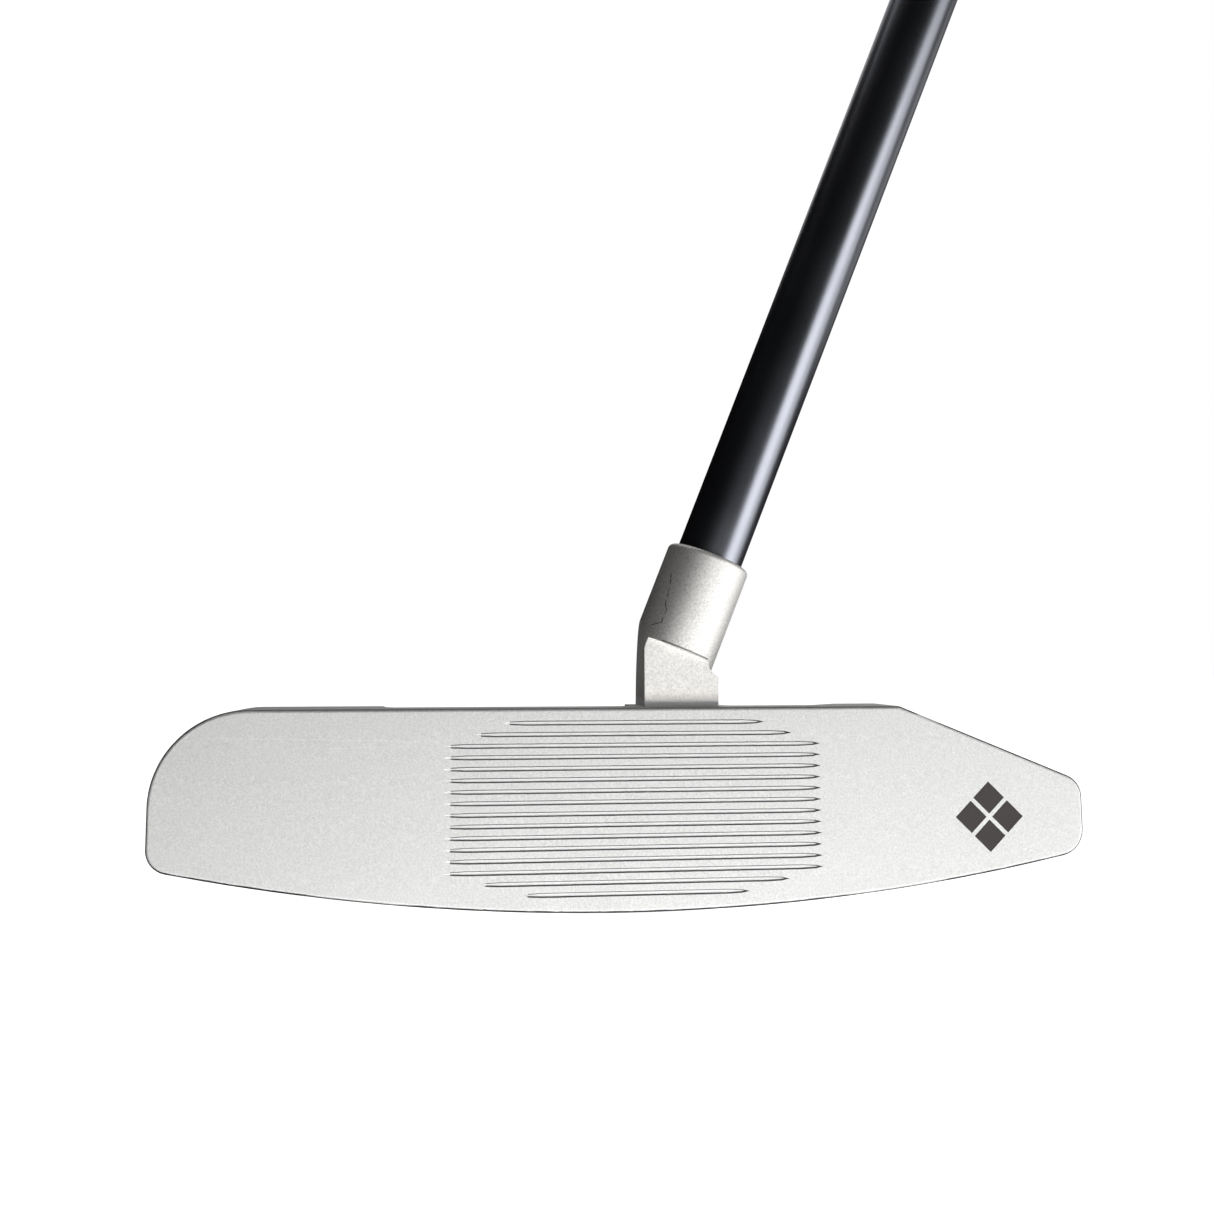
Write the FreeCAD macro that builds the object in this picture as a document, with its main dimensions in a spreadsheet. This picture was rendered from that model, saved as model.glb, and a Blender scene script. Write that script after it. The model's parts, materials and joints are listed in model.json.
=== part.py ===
"""Blade putter: milled head, short neck, tapered shaft and pistol grip.

Frame: origin at the middle of the groove field on the strike face. +X runs from toe to heel,
+Y from the face to the back of the head, +Z up, with the club soled as at address.
The shaft leans towards +X in a plane of constant Y. Lengths are in millimetres.
"""
import FreeCAD, Part
import os
import Sketcher
from math import cos, radians, sin, tan

Vector = FreeCAD.Vector
Rotation = FreeCAD.Rotation
Placement = FreeCAD.Placement

# name, value, meaning
DIMENSIONS = [
    ("loft_angle", 3.0, "face leans back from the vertical"),
    ("lean_angle", 21.5, "shaft leans to the heel: 90 less the lie angle of 68.5"),
    ("toe_x", -63.0, "flat of the toe end"),
    ("heel_x", 62.7, "flat of the heel end"),
    ("top_z", 13.2, "topline above the face centre"),
    ("sole_z", -13.8, "lowest point of the sole"),
    ("sole_x", -0.7, "where the sole is lowest"),
    ("camber_radius", 293.0, "heel-to-toe camber of the sole"),
    ("toe_top_radius", 12.4, "large round of the toe"),
    ("toe_low_radius", 3.2, "small round at the toe's sole"),
    ("heel_low_radius", 3.8, "round at the heel's sole"),
    ("heel_top_radius", 3.1, "round above the heel flat"),
    ("slope_x", 36.9, "where the topline turns down to the heel"),
    ("slope_angle", 22.2, "fall of the heel slope"),
    ("depth_y", 30.0, "back of the blank, before its plan shape is milled"),
    ("front_y", -4.0, "blank in front of the face before it is milled"),
    ("side_y", 11.0, "where the ends start to round off towards the back"),
    ("back_round", 13.0, "size of the two back corners in plan"),
    ("corner_radius", 15.0, "their radius, a little flatter than a quarter round"),
    ("back_radius", 600.0, "slight curve of the back edge in plan"),
    ("wall_y", 6.5, "thickness of the blade at the topline"),
    ("flange_z", -5.0, "top of the flange"),
    ("bumper_y", 11.2, "flat top of the two bumpers ends here"),
    ("bumper_low_z", 1.0, "height of the bumper slope at the back"),
    ("bumper_cut", 50.0, "length of the cut that slopes a bumper"),
    ("toe_bumper_x", -33.4, "inner side of the toe bumper"),
    ("heel_bumper_x", 26.0, "inner side of the heel bumper at the blade"),
    ("bumper_flare", 4.8, "cavity opens this much from the blade to the end of the bumper top"),
    ("back_flare", 3.0, "and this much more to the back edge"),
    ("toe_flare", 0.8, "the same on the toe side, from the blade to the end of the bumper top"),
    ("boss_toe_x", 0.2, "toe side of the boss that carries the neck"),
    ("boss_heel_x", 13.4, "heel side of the boss"),
    ("boss_y", 13.4, "back of the boss"),
    ("cavity_round", 2.0, "cutter radius in the cavity corners"),
    ("face_break", 0.45, "rounded edge all around the face"),
    ("edge_break", 0.6, "rounded edge of the cavity and the flange"),
    ("trail_round", 1.6, "round under the back edge of the sole"),
    ("floor_round", 1.0, "round where the cavity's walls meet its floor"),
    ("groove_pitch", 1.5, "spacing of the face grooves"),
    ("groove_mouth", 0.64, "width of a groove at the face"),
    ("groove_deep", 0.30, "depth of a groove"),
    ("groove_wall_angle", 26.0, "slant of the groove walls"),
    ("groove_tip", 3.0, "length of a groove's narrowing end"),
    ("groove_point", 1.0, "length of the point at that end"),
    ("groove_shoulder", 0.23, "half width of a groove where its point starts"),
    ("mark_x", 49.1, "middle of the small engraved mark"),
    ("mark_z", -2.0, "middle of the small engraved mark"),
    ("mark_half", 2.2, "half diagonal of one lozenge of the mark"),
    ("mark_step", 2.6, "lozenge centres from the middle of the mark"),
    ("mark_deep", 0.30, "depth of the mark"),
    ("fill_shy", 0.05, "paint lies this much below the metal"),
    ("sight_wide", 1.6, "width of the sight line"),
    ("sight_deep", 0.8, "depth of the sight line"),
    ("sight_round", 0.82, "radius of its rounded ends"),
    ("sight_start_y", 15.0, "front end of the sight line"),
    ("sight_end_y", 23.0, "back end of the sight line"),
    ("weight_x", 43.0, "sole weights, each side of the sole's low point"),
    ("weight_y", 14.5, "sole weights behind the face centre"),
    ("weight_radius", 7.0, "threaded sole weight"),
    ("weight_tall", 6.0, "height of a sole weight"),
    ("weight_sunk", 0.35, "weight below the sole surface"),
    ("washer_tall", 0.8, "sealing washer above a sole weight"),
    ("washer_hole", 3.2, "inner radius of that washer"),
    ("washer_gap", 0.6, "its rim inside the weight's radius"),
    ("chamfer", 0.45, "chamfer of a sole weight and of the screw's end"),
    ("spanner_circle", 4.0, "radius of the circle of spanner holes"),
    ("spanner_radius", 1.1, "radius of a spanner hole"),
    ("spanner_deep", 2.5, "depth of a spanner hole"),
    ("neck_toe_x", 1.7, "flat toe side of the neck"),
    ("neck_heel_x", 12.0, "flat heel side of the neck"),
    ("neck_front_y", 3.1, "flat front of the neck"),
    ("neck_back_y", 11.2, "back of the neck's heel block"),
    ("neck_block_z", 17.2, "top of the heel block at its outer edge"),
    ("scallop_radius", 2.4, "hollow between heel block and hosel"),
    ("shaft_x", -1.88, "shaft axis where it crosses the height of the face centre"),
    ("shaft_y", 7.0, "shaft axis behind the face centre"),
    ("hosel_radius", 5.95, "outside of the hosel"),
    ("step_s", 22.7, "underside of the hosel step, along the shaft axis"),
    ("rim_s", 36.6, "rim of the hosel, along the shaft axis"),
    ("socket_s", 24.2, "floor of the shaft socket, along the shaft axis"),
    ("socket_radius", 4.8, "bore of the shaft socket"),
    ("rim_break", 0.7, "rounded rim of the hosel"),
    ("screw_x", 6.7, "neck screw"),
    ("screw_y", 7.2, "neck screw"),
    ("screw_radius", 2.5, "M5 thread"),
    ("screw_head_radius", 4.25, "M5 socket head"),
    ("screw_head_tall", 5.0, "M5 socket head"),
    ("screw_long", 28.0, "M5 screw under its head"),
    ("thread_top_z", 20.7, "end of the threaded hole in the neck"),
    ("screw_hole_radius", 2.75, "clearance hole for the screw"),
    ("counterbore_radius", 4.75, "counterbore for the screw head"),
    ("counterbore_z", -7.0, "floor of the counterbore"),
    ("spring_washer_tall", 1.2, "split washer under the screw head"),
    ("hex_flats", 4.0, "hexagon socket of the screw"),
    ("hex_deep", 2.6, "depth of the hexagon socket"),
    ("dowel_radius", 1.0, "two locating dowels"),
    ("dowel_long", 8.0, "length of a dowel"),
    ("dowel_half_x", 3.4, "dowels from the screw, along X"),
    ("dowel_half_y", 2.3, "dowels from the screw, along Y"),
    ("club_length", 863.6, "34 in from the sole to the end of the grip, along the shaft"),
    ("tip_radius", 4.7, "0.370 in parallel tip"),
    ("bond_radius", 4.65, "tip where it is rubbed down for the adhesive"),
    ("bond_gap", 0.3, "rubbed length ends this much inside the rim"),
    ("tip_bore", 4.0, "bore of the tip"),
    ("taper_start", 215.0, "length of the parallel tip"),
    ("taper_end", 570.0, "where the taper reaches the butt size"),
    ("butt_radius", 7.35, "0.580 in butt"),
    ("butt_bore", 6.95, "bore of the butt"),
    ("plug_long", 12.0, "cork plug in the tip"),
    ("plug_start", 1.0, "gap between the shaft end and the plug"),
    ("tape_thick", 0.15, "double-sided grip tape"),
    ("grip_long", 262.0, "rubber of the grip, under its cap"),
    ("cap_tall", 9.0, "end cap of the grip"),
    ("cap_wall", 3.0, "rubber above the shaft's butt end"),
    ("vent_radius", 1.5, "vent hole in the cap"),
    ("skin_thick", 1.4, "outer layer of the grip"),
    ("overrun", 5.0, "cutters start and end this far outside the metal"),
]

# Grooves: first row counted from the top of the face, number of equal rows, half length.
GROOVE_COUNT = 16
GROOVE_ROWS = [(0, 1, "17.7"), (1, 1, "21.5"), (2, 12, "25.45"), (14, 1, "20.8"), (15, 1, "15.3")]

# Grip sections from its mouth up: share of its length, half width, front and back of the axis.
GRIP_SECTIONS = [
    (0.00, 9.6, 9.6, 9.6),
    (0.18, 10.6, 10.2, 11.2),
    (0.45, 12.2, 10.8, 13.6),
    (0.72, 13.2, 11.2, 16.0),
    (0.88, 13.6, 11.4, 18.0),
    (1.00, 13.8, 11.5, 17.2),
]
SECTION_STEP = 15        # degrees between the points of a section
THUMB_FLATNESS = 0.55    # exponent that flattens the toe side of a section

# Cap sections from the grip up: share of its height, distance inside the grip's outline.
CAP_SECTIONS = [(0.0, 0.0), (0.45, 0.25), (0.8, 1.2), (1.0, 3.2)]

TOUCH = 0.01             # two lengths closer than this are the same
PARALLEL = 0.999         # cosine above which two directions are the same
LEAST_CUT = 0.001        # volume that a cut must take away at least
NODES = []


# ---------------------------------------------------------------- document and helpers

def new_document():
    doc = FreeCAD.newDocument("blade_putter")
    sheet = doc.addObject("Spreadsheet::Sheet", "dims")
    for row, (name, value, meaning) in enumerate(DIMENSIONS, start=1):
        sheet.set("A%d" % row, name)
        sheet.set("B%d" % row, str(value))
        sheet.set("C%d" % row, meaning)
        sheet.setAlias("B%d" % row, name)
    doc.recompute()
    return doc


DOC = new_document()
SHEET = DOC.getObject("dims")
FAR = "100"              # beyond the head on every side
LEAN = "dims.lean_angle"
END_S = "(dims.club_length + dims.sole_z / cos(dims.lean_angle))"
GRIP_S = "(%s - dims.cap_tall - dims.grip_long)" % END_S
BUTT_S = "(%s - dims.cap_wall)" % END_S


def value_of(expression):
    """What an expression over the sheet gives, as a number."""
    return float(SHEET.evalExpression(str(expression)))


def new_body(name):
    body = DOC.addObject("PartDesign::Body", name)
    body.Label = name
    NODES.append(body)
    return body


def place(piece, base, tilt=None):
    """Bind a piece's Placement: base is three expressions, tilt an angle about +Y."""
    piece.Placement = Placement(Vector(0, 0, 0), Rotation(Vector(0, 1, 0), 1))
    for axis, expression in zip("xyz", base):
        piece.setExpression(".Placement.Base." + axis, expression)
    piece.setExpression(".Placement.Rotation.Angle", tilt or "0")


def along_shaft(distance):
    """Base expressions of the point of the shaft axis at this distance."""
    return ("dims.shaft_x + (%s) * sin(%s)" % (distance, LEAN), "dims.shaft_y",
            "(%s) * cos(%s)" % (distance, LEAN))


def new_sketch(body, name, plane, base=("0", "0", "0"), axis=(0, 1, 0), tilt=None):
    """Sketch on an origin plane of its body, moved and tilted in that plane's own axes."""
    sketch = body.newObject("Sketcher::SketchObject", name)
    origin_plane = next(item for item in body.Origin.OriginFeatures if item.Role == plane)
    sketch.AttachmentSupport = [(origin_plane, "")]
    sketch.MapMode = "FlatFace"
    sketch.AttachmentOffset = Placement(Vector(0, 0, 0), Rotation(Vector(*axis), 1))
    for letter, expression in zip("xyz", base):
        sketch.setExpression(".AttachmentOffset.Base." + letter, expression)
    sketch.setExpression(".AttachmentOffset.Rotation.Angle", tilt or "0")
    return sketch


def bind(sketch, kind, expression, *where):
    index = sketch.addConstraint(Sketcher.Constraint(kind, *where, value_of(expression)))
    sketch.setExpression("Constraints[%d]" % index, str(expression))


def pin_point(sketch, side, end, corner):
    bind(sketch, "DistanceX", corner[0], -1, 1, side, end)
    bind(sketch, "DistanceY", corner[1], -1, 1, side, end)


def arc_between(start, end, radius):
    """Arc from start to end; a positive radius turns anticlockwise. Second value: ends swapped."""
    chord = end - start
    rise = (radius ** 2 - (chord.Length / 2) ** 2) ** 0.5
    left = Vector(-chord.y, chord.x, 0).normalize()
    centre = (start + end) / 2 + left * (rise if radius > 0 else -rise)
    first, last = (start, end) if radius > 0 else (end, start)
    angles = [Vector(1, 0, 0).getAngle(point - centre) * (1 if point.y >= centre.y else -1)
              for point in (first, last)]
    circle = Part.Circle(centre, Vector(0, 0, 1), abs(radius))
    return Part.ArcOfCircle(circle, angles[0], angles[1]), radius < 0


def outline(sketch, corners, arcs=None):
    """Closed outline through corners, given as expressions; arcs maps a side to its radius."""
    arcs = arcs or {}
    points = [Vector(value_of(x), value_of(y), 0) for x, y in corners]
    first = sketch.GeometryCount
    ends = []
    for side, start in enumerate(points):
        end = points[(side + 1) % len(points)]
        if side in arcs:
            arc, swapped = arc_between(start, end, value_of(arcs[side]))
            sketch.addGeometry(arc, False)
            ends.append((2, 1) if swapped else (1, 2))
        else:
            sketch.addGeometry(Part.LineSegment(start, end), False)
            ends.append((1, 2))
    for side, corner in enumerate(corners):
        following = (side + 1) % len(corners)
        sketch.addConstraint(Sketcher.Constraint(
            "Coincident", first + side, ends[side][1], first + following, ends[following][0]))
        pin_point(sketch, first + side, ends[side][0], corner)
        if side in arcs:
            bind(sketch, "Radius", "abs(%s)" % arcs[side], first + side)
    return sketch


def rectangle(sketch, low_x, low_y, high_x, high_y):
    return outline(sketch, [(low_x, low_y), (high_x, low_y), (high_x, high_y), (low_x, high_y)])


def circle(sketch, centre_x, centre_y, radius):
    centre = Vector(value_of(centre_x), value_of(centre_y), 0)
    sketch.addGeometry(Part.Circle(centre, Vector(0, 0, 1), value_of(radius)), False)
    index = sketch.GeometryCount - 1
    pin_point(sketch, index, 3, (centre_x, centre_y))
    bind(sketch, "Radius", radius, index)
    return sketch


def pad(body, sketch, length, reverse=False):
    feature = body.newObject("PartDesign::Pad", sketch.Name + "_pad")
    feature.Profile = sketch
    feature.setExpression("Length", length)
    feature.Reversed = reverse
    DOC.recompute()
    return feature


def pocket(body, sketch, length=None, reverse=False, both_ways=False, wall_angle=None):
    """Cut a sketch into its body, and make sure that it took material away."""
    before = body.Shape.Volume
    feature = body.newObject("PartDesign::Pocket", sketch.Name + "_pocket")
    feature.Profile = sketch
    feature.setExpression("Length", length or FAR)
    feature.Reversed = reverse
    if both_ways:
        feature.SideType = "Symmetric"
    if wall_angle:
        feature.setExpression("TaperAngle", wall_angle)
    DOC.recompute()
    if body.Shape.Volume > before - LEAST_CUT:
        raise RuntimeError("%s cut nothing" % feature.Name)
    return feature


def turn(body, sketch):
    """Revolve a sketch drawn in the XZ plane about the body's Z axis."""
    feature = body.newObject("PartDesign::Revolution", sketch.Name + "_turned")
    feature.Profile = sketch
    feature.ReferenceAxis = (sketch, ["V_Axis"])
    feature.Angle = 360.0
    DOC.recompute()
    return feature


def dress(body, kind, name, chosen, size):
    """Fillet or chamfer on the edges of the body's tip whose middle point is chosen."""
    tip = body.Tip
    picked = []
    for number, edge in enumerate(tip.Shape.Edges, start=1):
        middle = edge.valueAt((edge.FirstParameter + edge.LastParameter) / 2)
        if chosen(edge, middle):
            picked.append("Edge%d" % number)
    if not picked:
        raise RuntimeError("%s finds no edge" % name)
    feature = body.newObject("PartDesign::" + kind, name)
    feature.Base = (tip, picked)
    feature.setExpression("Radius" if kind == "Fillet" else "Size", size)
    DOC.recompute()
    return feature


def near(point, x=None, y=None, z=None):
    wanted = ((point.x, x), (point.y, y), (point.z, z))
    return all(goal is None or abs(got - value_of(goal)) < TOUCH for got, goal in wanted)


def at_corner(x, z):
    """Choice of the edges that run from front to back through this corner of the outline."""
    return lambda edge, middle: near(middle, x=x, z=z)


def straight_along(edge, direction):
    if edge.Curve.TypeId != "Part::GeomLine":
        return False
    return abs(edge.Curve.Direction.dot(direction)) > PARALLEL


# ---------------------------------------------------------------- head

def sole_height(x):
    """Height of the sole's arc at x, as an expression."""
    return "dims.sole_z + dims.camber_radius - sqrt(dims.camber_radius ^ 2 - (%s - dims.sole_x) ^ 2)" % x


def head_blank(body):
    """Front outline, milled through from front to back, with its four corners rounded."""
    heel_drop = "dims.top_z - (dims.heel_x - dims.slope_x) * tan(dims.slope_angle)"
    corners = [
        ("dims.toe_x", sole_height("dims.toe_x")),
        ("dims.heel_x", sole_height("dims.heel_x")),
        ("dims.heel_x", heel_drop),
        ("dims.slope_x", "dims.top_z"),
        ("dims.toe_x", "dims.top_z"),
    ]
    sketch = new_sketch(body, "front_outline", "XZ_Plane", base=("0", "0", "-dims.front_y"))
    outline(sketch, corners, {0: "dims.camber_radius"})
    pad(body, sketch, "dims.depth_y - dims.front_y", reverse=True)
    rounds = [
        ("toe_low_round", corners[0], "dims.toe_low_radius"),
        ("heel_low_round", corners[1], "dims.heel_low_radius"),
        ("heel_top_round", corners[2], "dims.heel_top_radius"),
        ("toe_top_round", corners[4], "dims.toe_top_radius"),
    ]
    for name, (x, z), radius in rounds:
        dress(body, "Fillet", name, at_corner(x, z), radius)


def mill_plan(body):
    """Plan shape: straight front part of the ends, round back corners, slightly curved back."""
    sketch = new_sketch(body, "plan_outline", "XY_Plane", base=("0", "0", FAR))
    rectangle(sketch, "-" + FAR, "-" + FAR, FAR, FAR)
    back = "dims.side_y + dims.back_round"
    corners = [
        ("dims.toe_x", "dims.front_y - dims.overrun"),
        ("dims.heel_x", "dims.front_y - dims.overrun"),
        ("dims.heel_x", "dims.side_y"),
        ("dims.heel_x - dims.back_round", back),
        ("dims.toe_x + dims.back_round", back),
        ("dims.toe_x", "dims.side_y"),
    ]
    arcs = {2: "dims.corner_radius", 3: "dims.back_radius", 4: "dims.corner_radius"}
    outline(sketch, corners, arcs)
    pocket(body, sketch, length="2 * " + FAR)


def mill_face(body):
    """Everything in front of the lofted face plane goes."""
    sketch = new_sketch(body, "loft_cut", "YZ_Plane")
    reach = "dims.depth_y"
    front = "dims.front_y - dims.overrun"
    edge = "%s * tan(dims.loft_angle)" % reach
    corners = [
        (edge, reach),
        ("-" + edge, "-" + reach),
        (front, "-" + reach),
        (front, reach),
    ]
    outline(sketch, corners)
    pocket(body, sketch, length="2 * " + FAR, both_ways=True)

    def on_face(edge, middle):
        return all(abs(point.y - point.z * tan(radians(value_of("dims.loft_angle")))) < TOUCH
                   for point in (middle, edge.valueAt(edge.FirstParameter)))
    dress(body, "Fillet", "face_edge_round", on_face, "dims.face_break")


def mill_bumpers(body):
    """Backs of the toe and heel masses slope down to the flange."""
    starts = (("toe", "dims.toe_x - dims.overrun"), ("heel", "dims.boss_heel_x + dims.overrun"))
    for name, start in starts:
        sketch = new_sketch(body, name + "_bumper_slope", "YZ_Plane", base=("0", "0", start))
        corners = [
            ("dims.bumper_y", "dims.top_z"),
            ("dims.depth_y", "dims.bumper_low_z"),
            ("dims.depth_y", "dims.top_z + dims.overrun"),
            ("dims.bumper_y", "dims.top_z + dims.overrun"),
        ]
        outline(sketch, corners)
        pocket(body, sketch, length="dims.bumper_cut", reverse=True)


def mill_cavity(body):
    """Cavity behind the blade, around the boss that carries the neck, open to the back."""
    sketch = new_sketch(body, "cavity_outline", "XY_Plane", base=("0", "0", "dims.top_z + dims.overrun"))
    corners = [
        ("dims.toe_bumper_x", "dims.wall_y"),
        ("dims.boss_toe_x", "dims.wall_y"),
        ("dims.boss_toe_x", "dims.boss_y"),
        ("dims.boss_heel_x", "dims.boss_y"),
        ("dims.boss_heel_x", "dims.wall_y"),
        ("dims.heel_bumper_x", "dims.wall_y"),
        ("dims.heel_bumper_x + dims.bumper_flare", "dims.bumper_y"),
        ("dims.heel_bumper_x + dims.bumper_flare + dims.back_flare", "dims.depth_y"),
        ("dims.toe_bumper_x - dims.toe_flare - dims.back_flare", "dims.depth_y"),
        ("dims.toe_bumper_x - dims.toe_flare", "dims.bumper_y"),
    ]
    outline(sketch, corners)
    pocket(body, sketch, length="dims.top_z + dims.overrun - dims.flange_z")
    inner = [0, 1, 4, 5]

    def cutter_corner(edge, middle):
        upright = straight_along(edge, Vector(0, 0, 1))
        return upright and any(near(middle, x=corners[i][0], y=corners[i][1]) for i in inner)
    dress(body, "Fillet", "cavity_corner_round", cutter_corner, "dims.cavity_round")


def round_back_edges(body):
    """Rounds of the back: under the sole, round the cavity floor, along the flange."""
    def under_back(edge, middle):
        return middle.y > value_of("dims.side_y") and middle.z < value_of("dims.flange_z - dims.edge_break")

    def cavity_floor(edge, middle):
        near_boss = middle.y < value_of("dims.boss_y + dims.edge_break")
        return near_boss and near(middle, z="dims.flange_z")

    def flange_rim(edge, middle):
        return near(middle, z="dims.flange_z") and middle.y > value_of("dims.boss_y + dims.cavity_round")
    dress(body, "Fillet", "sole_back_round", under_back, "dims.trail_round")
    dress(body, "Fillet", "cavity_floor_round", cavity_floor, "dims.floor_round")
    dress(body, "Fillet", "flange_round", flange_rim, "dims.edge_break")


def weight_pose(side):
    """Point on the sole and tilt about +Y of a sole weight; side is -1 at the toe, 1 at the heel."""
    angle = "%d * asin(dims.weight_x / dims.camber_radius)" % side
    point = ("dims.sole_x + %d * dims.weight_x" % side, "dims.weight_y",
             "dims.sole_z + dims.camber_radius * (1 - cos(%s))" % angle)
    return point, "-1 * " + angle


def bore_weight_sockets(body):
    for name, side in (("toe", -1), ("heel", 1)):
        point, tilt = weight_pose(side)
        below = ("%s - dims.overrun * sin(%s)" % (point[0], tilt), point[1],
                 "%s - dims.overrun * cos(%s)" % (point[2], tilt))
        sketch = new_sketch(body, name + "_weight_socket", "XY_Plane", base=below, tilt=tilt)
        circle(sketch, "0", "0", "dims.weight_radius")
        deep = "dims.overrun + dims.weight_sunk + dims.weight_tall + dims.washer_tall"
        pocket(body, sketch, length=deep, reverse=True)


def bore_neck_seat(body):
    """Screw hole with its counterbore from the sole, and two dowel holes from the top."""
    below = ("dims.screw_x", "dims.screw_y", "dims.sole_z - dims.overrun")
    bore = new_sketch(body, "neck_screw_bore", "XY_Plane", base=below)
    circle(bore, "0", "0", "dims.screw_hole_radius")
    pocket(body, bore, length="dims.top_z - dims.sole_z + 2 * dims.overrun", reverse=True)
    counterbore = new_sketch(body, "neck_screw_counterbore", "XY_Plane", base=below)
    circle(counterbore, "0", "0", "dims.counterbore_radius")
    pocket(body, counterbore, length="dims.counterbore_z - dims.sole_z + dims.overrun", reverse=True)
    dowels = new_sketch(body, "dowel_bores", "XY_Plane",
                        base=("dims.screw_x", "dims.screw_y", "dims.top_z"))
    dowel_circles(dowels)
    pocket(body, dowels, length="dims.dowel_long / 2")


def dowel_circles(sketch):
    circle(sketch, "-dims.dowel_half_x", "-dims.dowel_half_y", "dims.dowel_radius")
    circle(sketch, "dims.dowel_half_x", "dims.dowel_half_y", "dims.dowel_radius")


def cut_grooves(body):
    """Sixteen grooves across the face, with slanted walls and pointed ends."""
    for row, count, half in GROOVE_ROWS:
        height = "(%s - %d) * dims.groove_pitch" % ((GROOVE_COUNT - 1) / 2, row)
        sketch = face_sketch(body, "groove_row_%02d" % (row + 1), ("0", height))
        groove_outline(sketch, half)
        first = pocket(body, sketch, length="dims.groove_deep", wall_angle="-dims.groove_wall_angle")
        if count > 1:
            repeat_down(body, first, sketch, count)


def repeat_down(body, feature, sketch, count):
    """Copies of a groove below it, one pitch apart."""
    pattern = body.newObject("PartDesign::LinearPattern", feature.Name + "_rows")
    pattern.Originals = [feature]
    pattern.Direction = (sketch, ["V_Axis"])
    pattern.Reversed = True
    pattern.setExpression("Length", "%d * dims.groove_pitch" % (count - 1))
    pattern.Occurrences = count
    body.Tip = pattern
    DOC.recompute()


def face_sketch(body, name, centre):
    """Sketch in the lofted face plane; centre is across and up that plane."""
    base = (centre[0], "(%s) * cos(dims.loft_angle)" % centre[1],
            "-1 * (%s) * sin(dims.loft_angle)" % centre[1])
    return new_sketch(body, name, "XZ_Plane", base=base, axis=(1, 0, 0), tilt="-dims.loft_angle")


def groove_outline(sketch, half):
    """Long slot that narrows to a point at both ends, in two steps."""
    steps = [("%s - dims.groove_tip" % half, "dims.groove_mouth / 2"),
             ("%s - dims.groove_point" % half, "dims.groove_shoulder")]
    right = [(x, "-1 * " + wide) for x, wide in steps] + [(half, "0")] + steps[::-1]
    left = [("-1 * (%s)" % x, "-1 * (%s)" % y) for x, y in right]
    outline(sketch, right + left)


def mark_outline(sketch):
    """Four small lozenges, set as the corners of a larger one."""
    half = "dims.mark_half"
    for across, up in ((-1, 0), (1, 0), (0, -1), (0, 1)):
        x = "%d * dims.mark_step" % across
        y = "%d * dims.mark_step" % up
        outline(sketch, [(x, y + " - " + half), (x + " + " + half, y), (x, y + " + " + half),
                         (x + " - " + half, y)])


def engrave_mark(body):
    sketch = face_sketch(body, "mark_outline", ("dims.mark_x", "dims.mark_z"))
    mark_outline(sketch)
    pocket(body, sketch, length="dims.mark_deep")


def sight_outline(sketch):
    wide = "dims.sight_wide / 2"
    front, back = "dims.sight_start_y", "dims.sight_end_y"
    corners = [("-" + wide, front), (wide, front), (wide, back), ("-" + wide, back)]
    outline(sketch, corners, {0: "dims.sight_round", 2: "dims.sight_round"})


def engrave_sight_line(body):
    sketch = new_sketch(body, "sight_outline", "XY_Plane", base=("0", "0", "dims.flange_z"))
    sight_outline(sketch)
    pocket(body, sketch, length="dims.sight_deep")


def make_head():
    body = new_body("head_body")
    for step in (head_blank, mill_plan, mill_face, mill_bumpers, mill_cavity, round_back_edges,
                 bore_weight_sockets, bore_neck_seat, engrave_mark, engrave_sight_line, cut_grooves):
        step(body)


def make_fills():
    """Paint in the face mark and in the sight line."""
    mark = new_body("face_mark_fill")
    sketch = face_sketch(mark, "mark_fill_outline", ("dims.mark_x", "dims.mark_z"))
    sketch.setExpression(".AttachmentOffset.Base.z",
                         "-1 * dims.mark_z * sin(dims.loft_angle) - dims.fill_shy")
    mark_outline(sketch)
    pad(mark, sketch, "dims.mark_deep - dims.fill_shy", reverse=True)
    line = new_body("sight_line_fill")
    sketch = new_sketch(line, "sight_fill_outline", "XY_Plane",
                        base=("0", "0", "dims.flange_z - dims.sight_deep"))
    sight_outline(sketch)
    pad(line, sketch, "dims.sight_deep - dims.fill_shy")


# ---------------------------------------------------------------- sole weights

def make_weight(name, side):
    body = new_body(name)
    point, tilt = weight_pose(side)
    place(body, point, tilt)
    disc = new_sketch(body, name + "_disc", "XY_Plane", base=("0", "0", "dims.weight_sunk"))
    circle(disc, "0", "0", "dims.weight_radius")
    pad(body, disc, "dims.weight_tall")
    holes = new_sketch(body, name + "_spanner_holes", "XY_Plane", base=("0", "0", "dims.weight_sunk"))
    circle(holes, "dims.spanner_circle", "0", "dims.spanner_radius")
    circle(holes, "-dims.spanner_circle", "0", "dims.spanner_radius")
    pocket(body, holes, length="dims.spanner_deep", reverse=True)
    rim = "dims.weight_sunk"
    dress(body, "Chamfer", name + "_rim", lambda edge, middle: near(middle, z=rim)
          and abs(edge.Curve.Radius - value_of("dims.weight_radius")) < TOUCH, "dims.chamfer")


def make_washer(name, side):
    body = new_body(name)
    point, tilt = weight_pose(side)
    place(body, point, tilt)
    ring = new_sketch(body, name + "_ring", "XY_Plane",
                      base=("0", "0", "dims.weight_sunk + dims.weight_tall"))
    circle(ring, "0", "0", "dims.weight_radius - dims.washer_gap")
    circle(ring, "0", "0", "dims.washer_hole")
    pad(body, ring, "dims.washer_tall")


# ---------------------------------------------------------------- neck and what holds it

def hosel_sketch(body, name, distance):
    return new_sketch(body, name, "XY_Plane", base=along_shaft(distance), tilt=LEAN)


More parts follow.
